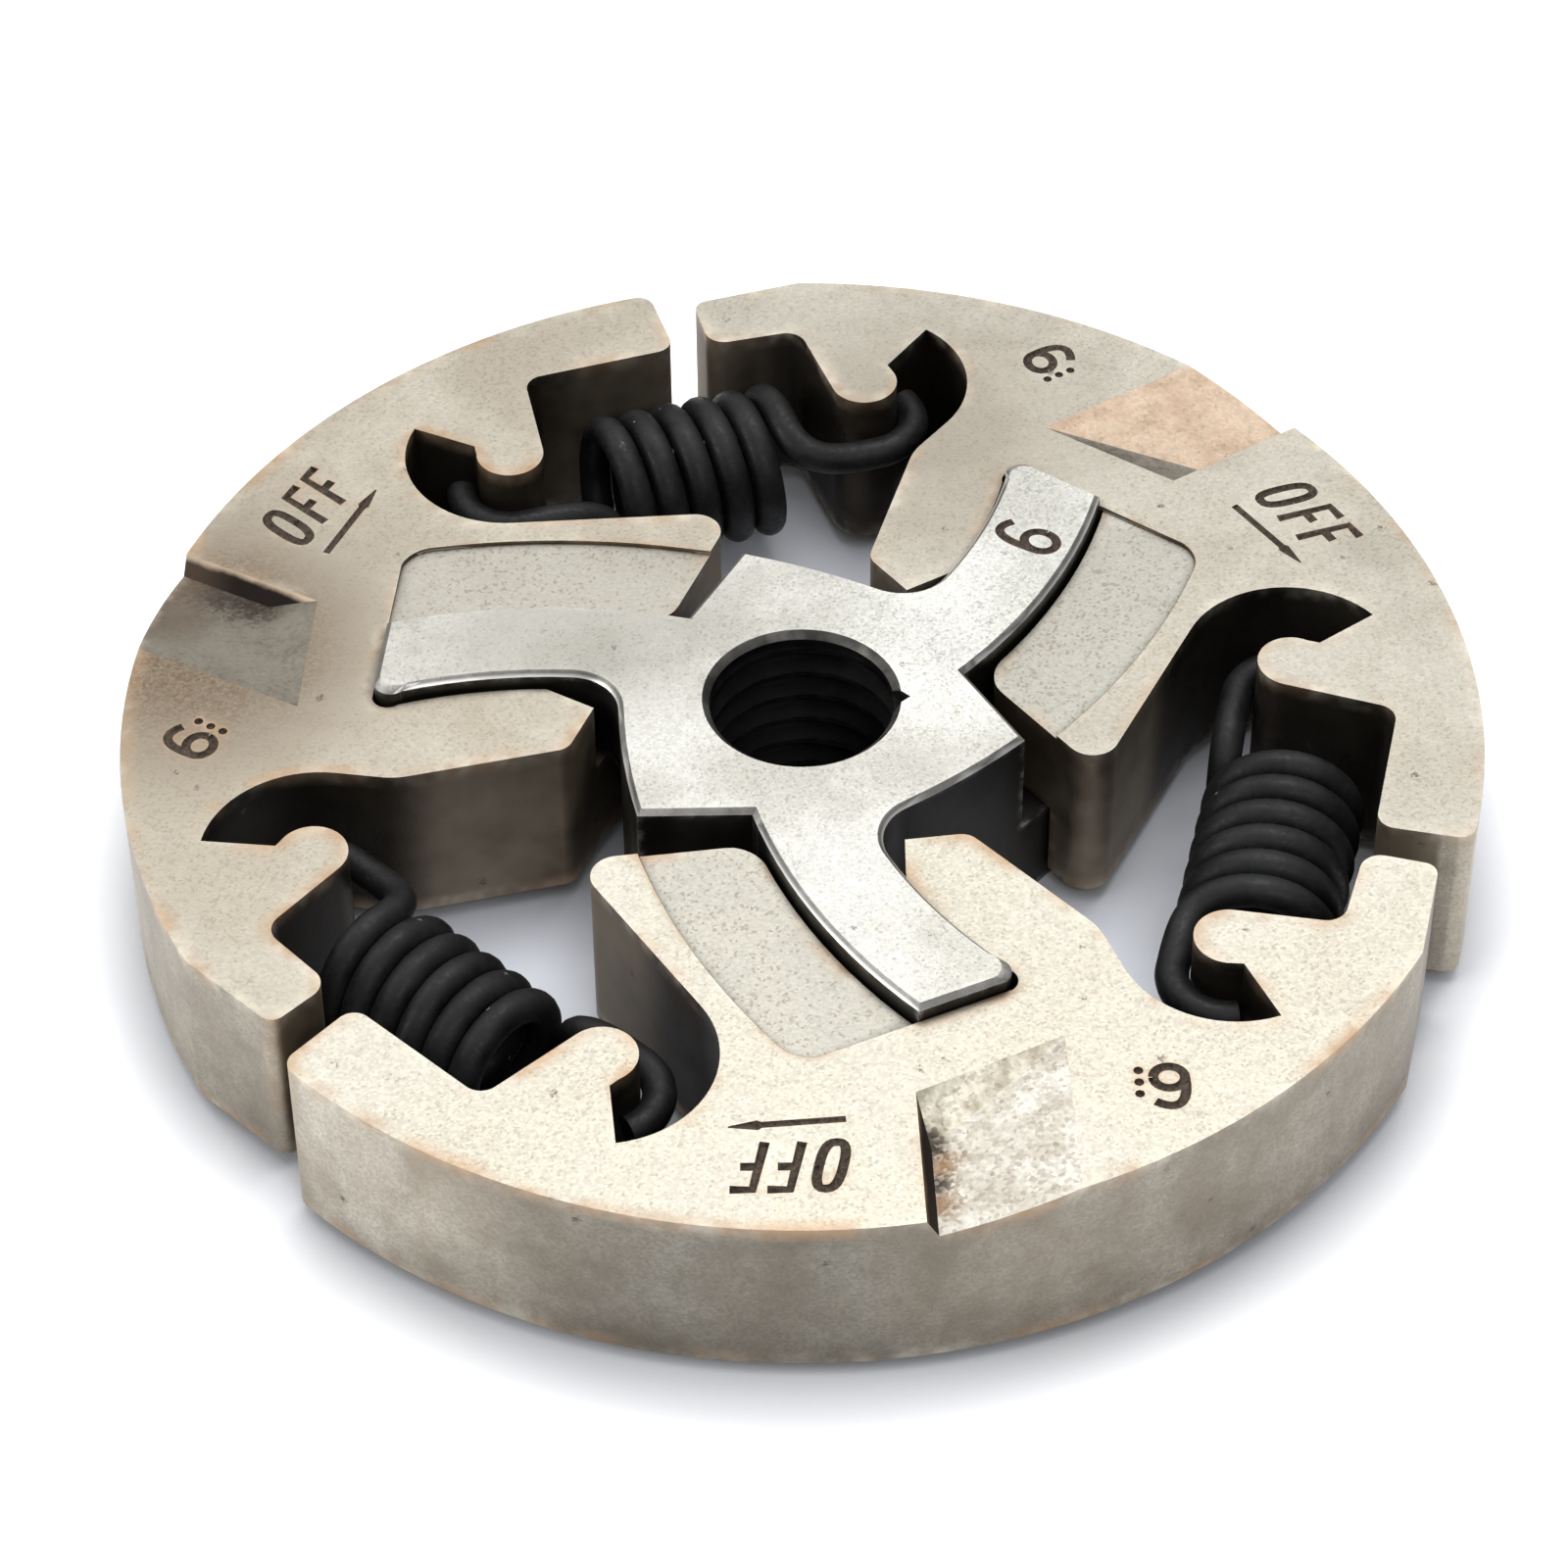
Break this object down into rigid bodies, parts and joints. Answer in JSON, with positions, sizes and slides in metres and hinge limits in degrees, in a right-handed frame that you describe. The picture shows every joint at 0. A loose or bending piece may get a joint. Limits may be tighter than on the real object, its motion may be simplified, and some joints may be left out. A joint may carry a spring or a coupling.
{
  "type": "centrifugal clutch",
  "caption": "Centrifugal clutch for a chainsaw: threaded hub spider, curved sintered shoes sliding on its arms, and hooked tension springs that pull the shoes in.",
  "frame": {"origin": "on the thread axis, at the hub's underside", "axes": "+Z along the thread, out of the marked face; -Y towards the middle of the first shoe, which is the near one in the picture"},
  "size_m": [0.075, 0.075, 0.0125],
  "materials": {
    "hub_steel": "tumbled sintered steel, worn bright at the edges",
    "shoe_steel": "sintered steel, fine-grained, warm grey",
    "spring_wire": "matt black oxide"
  },
  "bodies": {
    "hub": {"hub": "hub_steel"},
    "shoe_1": {"shoe_1": "shoe_steel"},
    "shoe_2": {"shoe_2": "shoe_steel"},
    "shoe_3": {"shoe_3": "shoe_steel"},
    "spring_1": {"spring_1": "spring_wire"},
    "spring_2": {"spring_2": "spring_wire"},
    "spring_3": {"spring_3": "spring_wire"}
  },
  "joints": [
    {"name": "shoe_1_swing", "type": "hinge", "parent": "hub", "child": "shoe_1", "pos_m": [0.03012, 0.00081, 0.00625], "axis": [0, 0, 1], "range_deg": [0, 2], "stiffness_Nm_per_rad": 4, "springref_deg": -5.73},
    {"name": "shoe_2_swing", "type": "hinge", "parent": "hub", "child": "shoe_2", "pos_m": [-0.01576, 0.02568, 0.00625], "axis": [0, 0, 1], "range_deg": [0, 2], "stiffness_Nm_per_rad": 4, "springref_deg": -5.73},
    {"name": "shoe_3_swing", "type": "hinge", "parent": "hub", "child": "shoe_3", "pos_m": [-0.01436, -0.02649, 0.00625], "axis": [0, 0, 1], "range_deg": [0, 2], "stiffness_Nm_per_rad": 4, "springref_deg": -5.73},
    {"name": "spring_1_stretch", "type": "slide", "parent": "shoe_1", "child": "spring_1", "axis": [0.4765, 0.8792, 0], "range_m": [0, 0.0019], "deforming": ["spring_1"]},
    {"name": "spring_2_stretch", "type": "slide", "parent": "shoe_2", "child": "spring_2", "axis": [-0.9996, -0.0269, 0], "range_m": [0, 0.0019], "deforming": ["spring_2"]},
    {"name": "spring_3_stretch", "type": "slide", "parent": "shoe_3", "child": "spring_3", "axis": [0.5231, -0.8523, 0], "range_m": [0, 0.0019], "deforming": ["spring_3"]}
  ],
  "couplings": [
    {"joint": "shoe_2_swing", "follows": "shoe_1_swing", "ratio": 1},
    {"joint": "shoe_3_swing", "follows": "shoe_1_swing", "ratio": 1},
    {"joint": "spring_1_stretch", "follows": "shoe_1_swing", "m_per_rad": 0.052188},
    {"joint": "spring_2_stretch", "follows": "shoe_1_swing", "m_per_rad": 0.052188},
    {"joint": "spring_3_stretch", "follows": "shoe_1_swing", "m_per_rad": 0.052188}
  ]
}
